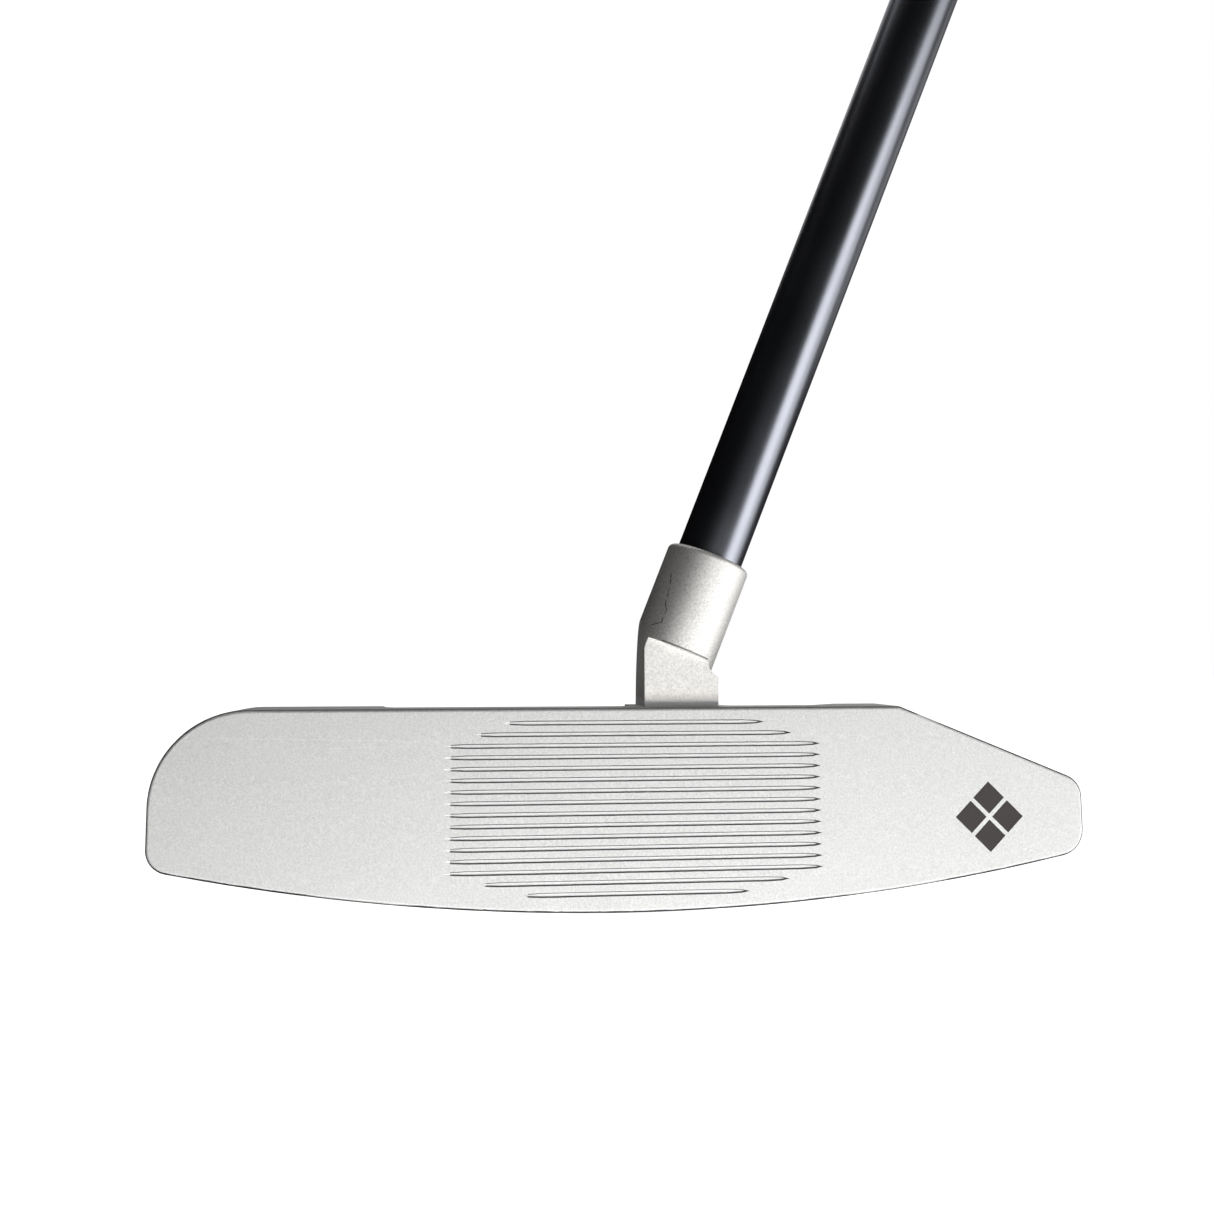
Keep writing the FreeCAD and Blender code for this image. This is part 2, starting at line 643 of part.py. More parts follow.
def make_neck():
    body = new_body("neck")
    hosel = hosel_sketch(body, "hosel_circle", "dims.rim_s")
    circle(hosel, "0", "0", "dims.hosel_radius")
    pad(body, hosel, "dims.rim_s - dims.top_z / cos(%s) + dims.hosel_radius" % LEAN, reverse=True)
    add_heel_block(body)
    trim_neck(body)
    socket = hosel_sketch(body, "shaft_socket", "dims.rim_s")
    circle(socket, "0", "0", "dims.socket_radius")
    pocket(body, socket, length="dims.rim_s - dims.socket_s")

    def on_rim(radius):
        def chosen(edge, middle):
            return edge.Curve.TypeId == "Part::GeomCircle" and abs(edge.Curve.Radius - radius) < TOUCH \
                and middle.z > value_of("dims.rim_s") * cos(radians(value_of(LEAN))) - radius
        return chosen
    dress(body, "Fillet", "rim_round", on_rim(value_of("dims.hosel_radius")), "dims.rim_break")
    thread = new_sketch(body, "neck_thread", "XY_Plane",
                        base=("dims.screw_x", "dims.screw_y", "dims.top_z"))
    circle(thread, "0", "0", "dims.screw_radius")
    pocket(body, thread, length="dims.thread_top_z - dims.top_z", reverse=True)
    dowels = new_sketch(body, "neck_dowel_bores", "XY_Plane",
                        base=("dims.screw_x", "dims.screw_y", "dims.top_z"))
    dowel_circles(dowels)
    pocket(body, dowels, length="dims.dowel_long / 2", reverse=True)


def step_end():
    """Heel end of the step where the flat front cuts the hosel, as two expressions."""
    chord = "sqrt(dims.hosel_radius ^ 2 - (dims.shaft_y - dims.neck_front_y) ^ 2)"
    return ("dims.shaft_x + dims.step_s * sin(%s) + %s * cos(%s)" % (LEAN, chord, LEAN),
            "dims.step_s * cos(%s) - %s * sin(%s)" % (LEAN, chord, LEAN))


def add_heel_block(body):
    """Block on the heel side of the neck, hollowed where it runs into the hosel."""
    sketch = new_sketch(body, "heel_block", "XZ_Plane", base=("0", "0", "-dims.neck_front_y"))
    end_x, end_z = step_end()
    corners = [
        ("dims.screw_x", "dims.top_z - dims.overrun"),
        ("dims.neck_heel_x", "dims.top_z - dims.overrun"),
        ("dims.neck_heel_x", "dims.neck_block_z"),
        (end_x, end_z),
        ("dims.screw_x", end_z),
    ]
    outline(sketch, corners, {2: "-dims.scallop_radius"})
    pad(body, sketch, "dims.neck_back_y - dims.neck_front_y", reverse=True)


def trim_neck(body):
    """Flat foot, flat toe side, and the flat front below the step."""
    foot = new_sketch(body, "neck_foot", "XY_Plane", base=("0", "0", "dims.top_z"))
    rectangle(foot, "-" + FAR, "-" + FAR, FAR, FAR)
    pocket(body, foot)
    side = new_sketch(body, "neck_toe_side", "YZ_Plane", base=("0", "0", "dims.neck_toe_x"))
    rectangle(side, "-" + FAR, "-" + FAR, FAR, FAR)
    pocket(body, side)
    front = new_sketch(body, "neck_front", "XZ_Plane", base=("0", "0", "-dims.neck_front_y"))
    reach = "2 * dims.hosel_radius"
    step_x = "dims.shaft_x + dims.step_s * sin(%s)" % LEAN
    step_z = "dims.step_s * cos(%s)" % LEAN
    outline(front, [
        ("%s - %s * cos(%s)" % (step_x, reach, LEAN), "0"),
        ("%s + %s * cos(%s)" % (step_x, reach, LEAN), "0"),
        ("%s + %s * cos(%s)" % (step_x, reach, LEAN), "%s - %s * sin(%s)" % (step_z, reach, LEAN)),
        ("%s - %s * cos(%s)" % (step_x, reach, LEAN), "%s + %s * sin(%s)" % (step_z, reach, LEAN)),
    ])
    pocket(body, front, reverse=True)


def make_neck_screw():
    body = new_body("neck_screw")
    place(body, ("dims.screw_x", "dims.screw_y", "dims.counterbore_z - dims.spring_washer_tall"))
    profile = new_sketch(body, "screw_profile", "XZ_Plane")
    outline(profile, [
        ("0", "-dims.screw_head_tall"),
        ("dims.screw_head_radius", "-dims.screw_head_tall"),
        ("dims.screw_head_radius", "0"),
        ("dims.screw_radius", "0"),
        ("dims.screw_radius", "dims.screw_long - dims.chamfer"),
        ("dims.screw_radius - dims.chamfer", "dims.screw_long"),
        ("0", "dims.screw_long"),
    ])
    turn(body, profile)
    socket = new_sketch(body, "hex_socket", "XY_Plane", base=("0", "0", "-dims.screw_head_tall"))
    corner = "dims.hex_flats / sqrt(3)"
    outline(socket, [("%s * cos(%d)" % (corner, turn_by), "%s * sin(%d)" % (corner, turn_by))
                     for turn_by in range(0, 360, 60)])
    pocket(body, socket, length="dims.hex_deep", reverse=True)


def make_neck_screw_washer():
    """Split spring washer under the screw head."""
    body = new_body("neck_screw_washer")
    place(body, ("dims.screw_x", "dims.screw_y", "dims.counterbore_z - dims.spring_washer_tall"))
    ring = new_sketch(body, "spring_ring", "XY_Plane")
    circle(ring, "0", "0", "dims.screw_head_radius")
    circle(ring, "0", "0", "dims.screw_hole_radius")
    pad(body, ring, "dims.spring_washer_tall")
    split = new_sketch(body, "spring_split", "XZ_Plane")
    wide = "dims.spring_washer_tall / 4"
    outline(split, [("-2 * " + wide, "0"), ("0", "0"), ("2 * " + wide, "4 * " + wide),
                    ("0", "4 * " + wide)])
    pocket(body, split, reverse=True)


def make_dowel(name, side):
    body = new_body(name)
    place(body, ("dims.screw_x + %d * dims.dowel_half_x" % side,
                 "dims.screw_y + %d * dims.dowel_half_y" % side, "dims.top_z"))
    profile = new_sketch(body, name + "_circle", "XY_Plane", base=("0", "0", "-dims.dowel_long / 2"))
    circle(profile, "0", "0", "dims.dowel_radius")
    pad(body, profile, "dims.dowel_long")


# ---------------------------------------------------------------- shaft

def make_turned(name, corners):
    """Piece turned about the shaft axis; corners are (radius, distance along the shaft)."""
    body = new_body(name)
    place(body, ("dims.shaft_x", "dims.shaft_y", "0"), LEAN)
    turn(body, outline(new_sketch(body, name + "_profile", "XZ_Plane"), corners))
    return body


def make_shaft():
    rubbed_end = "dims.rim_s - dims.bond_gap"
    make_turned("shaft", [
        ("dims.tip_bore", "dims.socket_s"),
        ("dims.bond_radius", "dims.socket_s"),
        ("dims.bond_radius", rubbed_end),
        ("dims.tip_radius", rubbed_end),
        ("dims.tip_radius", "dims.taper_start"),
        ("dims.butt_radius", "dims.taper_end"),
        ("dims.butt_radius", BUTT_S),
        ("dims.butt_bore", BUTT_S),
        ("dims.butt_bore", "dims.taper_end"),
        ("dims.tip_bore", "dims.taper_start"),
    ])
    sleeve("adhesive_sleeve", "dims.bond_radius", "dims.socket_radius", "dims.socket_s", rubbed_end)
    plug_start = "dims.socket_s + dims.plug_start"
    make_turned("shaft_tip_plug", [
        ("0", plug_start),
        ("dims.tip_bore", plug_start),
        ("dims.tip_bore", plug_start + " + dims.plug_long"),
        ("0", plug_start + " + dims.plug_long"),
    ])


def sleeve(name, inner, outer, start, end):
    return make_turned(name, [(inner, start), (outer, start), (outer, end), (inner, end)])


# ---------------------------------------------------------------- grip

def grip_wire(level, inset):
    """Closed section of the grip: flat towards the toe side, deeper on the heel side."""
    share, half_width, front, back = level
    points = []
    for degrees in range(0, 360, SECTION_STEP):
        across, along = sin(radians(degrees)), cos(radians(degrees))
        flatness = 1.0 if along > 0 else THUMB_FLATNESS
        reach = (back if along > 0 else front) - inset
        x = reach * (abs(along) ** flatness) * (1 if along > 0 else -1)
        y = (half_width - inset) * across
        points.append(Vector(x, y, share * value_of("dims.grip_long")))
    curve = Part.BSplineCurve()
    curve.interpolate(Points=points, PeriodicFlag=True)
    return Part.Wire(curve.toShape())


def grip_solid(inset):
    return Part.makeLoft([grip_wire(level, inset) for level in GRIP_SECTIONS], True, False)


def add_shape(name, shape, start):
    piece = DOC.addObject("Part::Feature", name)
    piece.Label = name
    piece.Shape = shape
    place(piece, along_shaft(start), LEAN)
    NODES.append(piece)


def make_grip():
    tall = value_of("dims.grip_long")
    bore = value_of("dims.butt_radius + dims.tape_thick")
    skin = value_of("dims.skin_thick")
    core = grip_solid(skin)
    add_shape("grip_skin", grip_solid(0).cut(core), GRIP_S)
    add_shape("grip_core", core.cut(Part.makeCylinder(bore, tall)), GRIP_S)
    sleeve("grip_tape", "dims.butt_radius", "dims.butt_radius + dims.tape_thick", GRIP_S,
           "%s - dims.cap_tall" % END_S)
    add_shape("grip_cap", cap_shape(bore), "%s - dims.cap_tall" % END_S)


def cap_shape(bore):
    """Rounded cap that closes the grip, over the butt of the shaft, with its vent hole."""
    tall = value_of("dims.cap_tall")
    top = GRIP_SECTIONS[-1]
    wires = []
    for lift, inset in CAP_SECTIONS:
        wire = grip_wire((0.0,) + top[1:], inset)
        wire.translate(Vector(0, 0, lift * tall))
        wires.append(wire)
    shape = Part.makeLoft(wires, True, False)
    inside = Part.makeCylinder(value_of("dims.butt_radius"), tall - value_of("dims.cap_wall"))
    vent = Part.makeCylinder(value_of("dims.vent_radius"), tall)
    return shape.cut(inside).cut(vent)


# ---------------------------------------------------------------- assembly

def build():
    make_head()
    make_fills()
    for name, side in (("toe", -1), ("heel", 1)):
        make_weight(name + "_weight", side)
        make_washer(name + "_weight_washer", side)
    make_neck()
    make_neck_screw()
    make_neck_screw_washer()
    make_dowel("front_neck_dowel", -1)
    make_dowel("rear_neck_dowel", 1)
    make_shaft()
    make_grip()


def check_and_write():
    DOC.recompute()
    for item in DOC.Objects:
        if "Invalid" in item.State or "Error" in item.State:
            raise RuntimeError("%s failed: %s" % (item.Name, item.State))
    os.makedirs("parts", exist_ok=True)
    for node in NODES:
        if node.Shape.isNull() or not node.Shape.isValid() or not node.Shape.Solids:
            raise RuntimeError("%s has no valid solid" % node.Label)
    for node in NODES:
        node.Shape.exportStep("parts/%s.step" % node.Label)
        print("%-20s %9.1f mm3" % (node.Label, node.Shape.Volume))


build()
check_and_write()
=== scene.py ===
"""Looks of the blade putter: camera, studio, materials and the moulded surface of the grip.

Lengths are in metres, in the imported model's frame: origin on the strike face, +X to the heel,
+Y to the back, +Z up. The shaft leans towards +X.
"""
import json
import math

import bpy
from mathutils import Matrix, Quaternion, Vector
from mathutils.bvhtree import BVHTree


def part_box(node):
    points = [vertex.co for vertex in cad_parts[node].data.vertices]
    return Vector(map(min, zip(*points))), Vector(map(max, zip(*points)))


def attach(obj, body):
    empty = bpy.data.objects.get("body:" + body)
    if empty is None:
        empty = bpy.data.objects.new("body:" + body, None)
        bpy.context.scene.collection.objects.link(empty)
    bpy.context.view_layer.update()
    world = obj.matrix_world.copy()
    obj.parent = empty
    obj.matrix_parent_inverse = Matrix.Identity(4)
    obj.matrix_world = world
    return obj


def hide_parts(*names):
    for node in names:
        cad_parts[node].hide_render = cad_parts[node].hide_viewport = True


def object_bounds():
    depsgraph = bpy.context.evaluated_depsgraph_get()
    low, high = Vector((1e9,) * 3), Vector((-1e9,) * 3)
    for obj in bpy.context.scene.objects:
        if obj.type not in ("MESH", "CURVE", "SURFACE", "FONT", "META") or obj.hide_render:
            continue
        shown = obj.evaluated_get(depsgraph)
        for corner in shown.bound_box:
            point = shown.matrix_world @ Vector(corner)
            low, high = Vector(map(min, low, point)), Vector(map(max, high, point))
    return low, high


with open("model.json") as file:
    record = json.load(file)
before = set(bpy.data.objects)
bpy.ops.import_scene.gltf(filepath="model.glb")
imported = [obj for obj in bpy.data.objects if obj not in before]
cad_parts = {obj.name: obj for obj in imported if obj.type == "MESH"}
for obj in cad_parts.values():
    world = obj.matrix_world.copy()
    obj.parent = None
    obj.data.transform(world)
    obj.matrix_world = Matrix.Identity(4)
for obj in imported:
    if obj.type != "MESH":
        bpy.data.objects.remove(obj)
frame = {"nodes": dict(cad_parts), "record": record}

CAD_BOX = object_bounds()
MM = 0.001
NODES = frame["nodes"]
SCENE = bpy.context.scene


def link(item):
    SCENE.collection.objects.link(item)
    return item


# ---------------------------------------------------------------- camera and studio

CAMERA_PLACE = Vector((-19.37, -149.61, 19.47)) * MM
CAMERA_PITCH = 2.757         # degrees above the horizon
CAMERA_ROLL = 0.09
CAMERA_YAW = -5.95           # negative is towards the heel
SHAFT_LEAN = 21.5            # degrees; the softboxes that the shaft mirrors lean with it
NO_TINT = (1, 1, 1)
FAINT_WARM = (1, 0.95, 0.92)
DIM_SKY = (0.9, 0.95, 1.0, 1)
DIM_STRENGTH = 0.002
WHITE = (1, 1, 1, 1)
FLOOR_GREY = (0.8, 0.8, 0.8, 1)
FLOOR_HALF = 8.0


def make_camera():
    """Close in front of the face, above the sole, looking slightly up and towards the heel."""
    data = bpy.data.cameras.new("camera")
    data.sensor_width = 36.0
    data.lens = 33.3
    data.clip_start = 0.01
    data.clip_end = 50.0
    camera = link(bpy.data.objects.new("camera", data))
    camera.location = CAMERA_PLACE
    turns = (90 + CAMERA_PITCH, CAMERA_ROLL, CAMERA_YAW)
    camera.rotation_euler = [math.radians(turn) for turn in turns]
    SCENE.camera = camera


def direction(azimuth, elevation):
    """Unit vector: azimuth 0 is in front of the face, 90 on the heel side."""
    around, up = math.radians(azimuth), math.radians(elevation)
    level = math.cos(up)
    return Vector((math.sin(around) * level, -math.cos(around) * level, math.sin(up)))


def softbox(name, azimuth, elevation, distance, size, radiance, lean=0.0, colour=NO_TINT):
    """Rectangular light that faces the neck; lean turns it about its own axis."""
    data = bpy.data.lights.new(name, "AREA")
    data.shape = "RECTANGLE"
    data.size, data.size_y = size
    data.energy = radiance * math.pi * size[0] * size[1]
    data.color = colour
    lamp = link(bpy.data.objects.new(name, data))
    away = direction(azimuth, elevation)
    lamp.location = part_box("neck")[0] + away * distance
    lamp.rotation_mode = "QUATERNION"
    lamp.rotation_quaternion = Quaternion(away, math.radians(lean)) @ away.to_track_quat("Z", "Y")
    lamp.visible_camera = False


def make_lights():
    """Tall softbox on the heel side with a brighter core, two in front, weak ones around.

    Each one's azimuth and elevation are in degrees; then come distance, size and radiance.
    """
    softbox("key_core", 66, -15, 1.0, (0.50, 1.5), 1.38, lean=SHAFT_LEAN)
    softbox("key_wide", 75, -16, 1.0, (0.95, 1.5), 1.30, lean=SHAFT_LEAN)
    softbox("front_low", 5, -30, 1.2, (0.8, 0.6), 6.8)
    softbox("front_level", -15, -6, 1.2, (0.8, 0.3), 1.0)
    softbox("toe_side", 262, -25, 1.4, (0.9, 0.9), 0.5, colour=FAINT_WARM)
    softbox("back_high", 165, 48, 1.5, (1.2, 0.9), 0.6)
    softbox("back_low", 172, -16, 1.6, (1.0, 0.9), 1.4)
    softbox("back_heel", 128, 55, 1.6, (0.8, 0.9), 0.8)
    softbox("back_toe", 215, 76, 1.6, (0.9, 0.9), 0.9)
    softbox("edge_heel", 118, 14, 1.2, (0.5, 0.4), 0.4)


def make_world():
    """White backdrop for the camera, dim for all other rays: the softboxes shape the metal."""
    world = bpy.data.worlds.new("studio")
    world.use_nodes = True
    SCENE.world = world
    tree = world.node_tree
    tree.nodes.clear()
    path = tree.nodes.new("ShaderNodeLightPath")
    dim = tree.nodes.new("ShaderNodeBackground")
    dim.inputs["Color"].default_value = DIM_SKY
    dim.inputs["Strength"].default_value = DIM_STRENGTH
    white = tree.nodes.new("ShaderNodeBackground")
    white.inputs["Color"].default_value = WHITE
    mix = tree.nodes.new("ShaderNodeMixShader")
    out = tree.nodes.new("ShaderNodeOutputWorld")
    tree.links.new(path.outputs["Is Camera Ray"], mix.inputs["Fac"])
    tree.links.new(dim.outputs[0], mix.inputs[1])
    tree.links.new(white.outputs[0], mix.inputs[2])
    tree.links.new(mix.outputs[0], out.inputs["Surface"])


def make_floor():
    """Plain white floor under the sole, lit from within so that it stays pale to the horizon."""
    half = FLOOR_HALF
    low = CAD_BOX[0].z
    mesh = bpy.data.meshes.new("floor")
    corners = [(-half, -half, low), (half, -half, low), (half, half, low), (-half, half, low)]
    mesh.from_pydata(corners, [], [(0, 1, 2, 3)])
    floor = link(bpy.data.objects.new("floor", mesh))
    paint = Paint("floor_white")
    glow = paint.node("ShaderNodeEmission", Color=WHITE, Strength=1.0)
    matte = paint.node("ShaderNodeBsdfDiffuse", Color=FLOOR_GREY)
    total = paint.node("ShaderNodeAddShader")
    paint.put(glow.outputs[0], total.inputs[0])
    paint.put(matte.outputs[0], total.inputs[1])
    paint.put(total.outputs[0], paint.output.inputs["Surface"])
    mesh.materials.append(paint.material)
    floor.visible_glossy = False
    floor.visible_diffuse = False
    floor.visible_shadow = False


# ---------------------------------------------------------------- building materials

ONLY_X_Z = (1, 0, 1)             # drops the Y of a vector
MIDDLE = (0.5, 0.5, 0.5)         # a noise colour's mean
USUAL_NOISE = (0.3, 0.7)         # span that most of a noise stays in
WIDE_NOISE = (0.25, 0.75)
WOBBLE_SIZE = 2 * MM             # size of the bends in a wobbling line
STROKE_CORE = 0.3                # share of a line's half width that has its full strength
BEVEL_SAMPLES = 6
EDGE_COSINES = (0.995, 0.80)     # rounded against true normal, from no edge to a full edge


class Paint:
    """One node material. Sockets are passed around as values, plain numbers are set directly.

    A mask is a value that is 1 where something is and 0 elsewhere.
    """

    def __init__(self, name):
        self.material = bpy.data.materials.new(name)
        self.material.use_nodes = True
        self.tree = self.material.node_tree
        self.tree.nodes.clear()
        self.output = self.tree.nodes.new("ShaderNodeOutputMaterial")
        self.place = self.tree.nodes.new("ShaderNodeTexCoord").outputs["Object"]

    def put(self, value, socket):
        if isinstance(value, bpy.types.NodeSocket):
            self.tree.links.new(value, socket)
        else:
            socket.default_value = value

    def node(self, kind, **values):
        """New node with these inputs; an underscore stands for the space in an input's name."""
        made = self.tree.nodes.new(kind)
        for name, value in values.items():
            self.put(value, made.inputs[name.replace("_", " ")])
        return made

    def math(self, operation, first, second=0.0, clamp=False):
        made = self.tree.nodes.new("ShaderNodeMath")
        made.operation = operation
        made.use_clamp = clamp
        self.put(first, made.inputs[0])
        self.put(second, made.inputs[1])
        return made.outputs[0]

    def times(self, first, *others):
        for other in others:
            first = self.math("MULTIPLY", first, other)
        return first

    def vector(self, operation, first, second=(0, 0, 0)):
        """Vector maths; a dot product and a length give a plain number."""
        made = self.tree.nodes.new("ShaderNodeVectorMath")
        made.operation = operation
        self.put(first, made.inputs[0])
        self.put(second, made.inputs["Scale"] if operation == "SCALE" else made.inputs[1])
        return made.outputs[1 if operation in ("DOT_PRODUCT", "LENGTH") else 0]

    def split(self, vector):
        """The X, Y and Z of a vector, by name."""
        return self.node("ShaderNodeSeparateXYZ", Vector=vector).outputs

    def true_normal(self):
        return self.tree.nodes.new("ShaderNodeNewGeometry").outputs["Normal"]

    def noise(self, size, detail=2.0, roughness=0.5):
        """Noise from 0 to 1 whose features measure about size."""
        return self.node("ShaderNodeTexNoise", Vector=self.place, Scale=1 / size, Detail=detail,
                         Roughness=roughness).outputs["Fac"]

    def remap(self, value, low, high, to_low, to_high, curve):
        made = self.node("ShaderNodeMapRange", Value=value, From_Min=low, From_Max=high,
                         To_Min=to_low, To_Max=to_high)
        made.interpolation_type = curve
        return made.outputs[0]

    def between(self, value, low, high, to_low=0.0, to_high=1.0):
        """Smooth step of value from low to high."""
        return self.remap(value, low, high, to_low, to_high, "SMOOTHSTEP")

    def linear(self, value, low, high, to_low, to_high):
        """Straight ramp of value from low to high, level beyond them."""
        return self.remap(value, low, high, to_low, to_high, "LINEAR")

    def vary(self, noise, low, high):
        """Noise spread over low to high."""
        return self.linear(noise, *USUAL_NOISE, low, high)

    def choose(self, mask, off, on):
        """The number off where the mask is 0, and on where it is 1."""
        return self.linear(mask, 0, 1, off, on)

    def lighten(self, tone, mask, amount):
        """Adds the amount where the mask is 1."""
        return self.math("ADD", tone, self.math("MULTIPLY", mask, amount))

    def darken(self, tone, mask, share):
        """Leaves this share of the tone where the mask is 1."""
        return self.times(tone, self.choose(mask, 1.0, share))

    def blend(self, mask, off, on):
        """One colour where the mask is 0, the other where it is 1."""
        made = self.tree.nodes.new("ShaderNodeMix")
        made.data_type = "RGBA"
        for value, index in ((mask, 0), ((*off, 1), 6), ((*on, 1), 7)):
            self.put(value, made.inputs[index])
        return made.outputs[2]

    def stroke(self, start, end, wide, wobble=0.0):
        """Mask of a line between two points, each X and Z in mm; wobble bends it."""
        flat = self.vector("MULTIPLY", self.place, ONLY_X_Z)
        if wobble:
            shake = self.node("ShaderNodeTexNoise", Vector=self.place, Scale=1 / WOBBLE_SIZE,
                              Detail=3.0)
            bend = self.vector("SUBTRACT", shake.outputs["Color"], MIDDLE)
            bend = self.vector("SCALE", self.vector("MULTIPLY", bend, ONLY_X_Z), 2 * wobble)
            flat = self.vector("ADD", flat, bend)
        start = Vector((start[0], 0, start[1])) * MM
        run = Vector((end[0], 0, end[1])) * MM - start
        from_start = self.vector("SUBTRACT", flat, start)
        reach = self.vector("DOT_PRODUCT", from_start, run)
        share = self.math("MULTIPLY", reach, 1 / run.length_squared, clamp=True)
        nearest = self.vector("SCALE", run, share)
        away = self.vector("LENGTH", self.vector("SUBTRACT", from_start, nearest))
        return self.between(away, wide, STROKE_CORE * wide)

    def bump(self, height, distance, normal=None):
        made = self.node("ShaderNodeBump", Height=height, Distance=distance, Strength=1.0)
        if normal is not None:
            self.put(normal, made.inputs["Normal"])
        return made.outputs[0]

    def soft_edges(self, radius):
        """Normal rounded off at the edges, and the mask of the edges."""
        bevel = self.node("ShaderNodeBevel", Radius=radius)
        bevel.samples = BEVEL_SAMPLES
        along = self.vector("DOT_PRODUCT", bevel.outputs[0], self.true_normal())
        return bevel.outputs[0], self.between(along, *EDGE_COSINES)

    def finish(self, colour, tone, roughness, metallic, normal):
        """Principled surface whose colour is multiplied by the tone."""
        surface = self.node("ShaderNodeBsdfPrincipled", Roughness=roughness, Metallic=metallic,
                            Base_Color=self.vector("SCALE", colour, tone), Normal=normal)
        self.put(surface.outputs[0], self.output.inputs["Surface"])
        return self.material


# ---------------------------------------------------------------- blasted steel

FINE_GRAIN = 0.14 * MM
COARSE_GRAIN = 0.30 * MM
COARSE_SHARE = 0.4               # strength of the coarse grain against the fine one
CLOUD_SIZE = 9 * MM
CLOUD_TONE = 0.015

LOFT = math.radians(3)
HEAD_COLOUR = (0.865, 0.868, 0.855)
HEAD_GRAIN = 0.13                # the grain's swing of tone
HEAD_RELIEF = 0.006 * MM
HEAD_ROUGHNESS = (0.63, 0.69)
HEAD_EDGE_RADIUS = (0.25 * MM, 0.03 * MM)    # outside and inside the grooves
EDGE_WEAR_AND_HIGHLIGHT = 0.10                # partly edge wear, partly painted highlight; added to the tone, as are the painted highlights below
EDGE_POLISH = 0.15               # edges are rubbed smoother by this much
WALL_SHADE_SHARE = 0.30                # painted shade: the part of the tone that stays on a groove wall turned from the light
# Painted highlight on the floors of the grooves, added to the tone.
FLOOR_PAINTED_HIGHLIGHT = 0.14
# Painted highlight on the heel-facing walls of the toe-end tips, added to the tone.
TIP_PAINTED_HIGHLIGHT = 0.35

# The pairs below are where a mask of the head starts, at 0, and where it is full, at 1.
# Depth behind the plane of the face:
FACE_DEPTH = (0.03 * MM, 0.01 * MM)          # the face itself
FLOOR_DEPTH = (0.15 * MM, 0.25 * MM)         # floors of the grooves
GROOVE_DEPTH = (0.45 * MM, 0.38 * MM)        # everything no deeper than a groove
RIM_DEPTH = (0.55 * MM, 0.45 * MM)           # the broken edge around the face
# Distance from the middle of the face:
ROWS_HEIGHT = (12.2 * MM, 11.9 * MM)         # up or down, within the rows of grooves
ENDS_LENGTH = (40 * MM, 44 * MM)             # along the face, beyond the rows
# Cosine between a surface and the face:
WALL_SLANT = (0.96, 0.75)
FLOOR_SLANT = (0.90, 0.97)
# How far a surface looks towards the heel, or upwards:
WALL_HEELWARD = (0.17, 0.10)                 # all walls but those of the toe tips
TIP_HEELWARD = (0.08, 0.16)                  # walls of the toe tips
LIT_HEELWARD = (0.1, 0.3)                    # outer edges in the light
LIT_UPWARD = (-0.15, -0.35)
# Slant at which the painted shade of an outer edge starts and is full, and the share of its tone
# that stays: first for edges out of the light, then for edges in it.
RIM_SLANT_START = (0.92, 0.975)
RIM_SLANT_FULL = (0.72, 0.88)
RIM_SHADE_SHARE = (0.40, 0.10)

SCRATCH_WIDE = 0.05 * MM
SCRATCH_WOBBLE = 0.1 * MM
SCRATCH_LIGHT = 0.20
# Fine scratches of the face, as (x, z) of both ends in mm, and how strong they are.
FACE_SCRATCHES = [
    ((-56, 9.6), (-26, 8.9), 0.6),
    ((-40, 8.1), (-29, 8.4), 0.4),
    ((-26.6, 11.2), (-26.4, 9.4), 0.9),
    ((-24.1, 8.2), (-24.5, 7.0), 0.5),
    ((-51, -2.5), (-48.6, 0.4), 0.35),
    ((-36, -7.4), (-33.2, -6.6), 0.4),
    ((31, 4.2), (34.8, 5.1), 0.4),
    ((33.5, -8.2), (36.1, -5.4), 0.3),
    ((-8, 12.3), (3, 12.5), 0.35),
    ((53.5, -6.8), (57.4, -4.9), 0.35),
]

NECK_COLOUR = (0.90, 0.886, 0.862)
# Colour of the painted warm shade near the neck's foot.
NECK_FOOT_SHADE_COLOUR = (0.90, 0.855, 0.82)
NECK_GRAIN = 0.24
NECK_RELIEF = 0.008 * MM
NECK_ROUGHNESS = (0.59, 0.65)
NECK_EDGE_RADIUS = 0.12 * MM
# Partly edge wear, partly painted highlight, added to the tone.
NECK_EDGE_WEAR_AND_HIGHLIGHT = 0.06
FRONT_HALF = (7 * MM, 5 * MM)                # Y of the neck's front half
FOOT_WARM_SHADE = (16.5 * MM, 13.2 * MM)           # Z where painted warm shade starts and is full, towards the neck's foot
FOOT_PAINTED_LIGHT = (14.6 * MM, 13.5 * MM)         # Z where painted light starts and is full, at the neck's lowest part
# Tone gain of that painted light.
FOOT_LIGHT_GAIN = 1.5
# Wavering crack in the coating of the hosel: its corners from the rim down, (x, z) in mm.
HOSEL_CRACK = [(5.7, 33.2), (5.4, 30.4), (4.6, 27.4), (4.7, 26.5), (3.9, 24.7), (2.8, 24.5)]
CRACK_WIDE = 0.09 * MM
CRACK_WOBBLE = 0.15 * MM
CRACK_SHARE = 0.35
CRACK_GAPS = 0.9 * MM                        # size of the noise that breaks the crack up
CRACK_GAP_SPAN = (0.35, 0.55)
# Painted shadow under the step of the neck: both ends of its line, (x, z) in mm.
STEP_SHADOW_ENDS = ((4.0, 22.25), (10.4, 19.72))
STEP_SHADOW_WIDE = 0.17 * MM
STEP_SHADOW_SHARE = 0.30


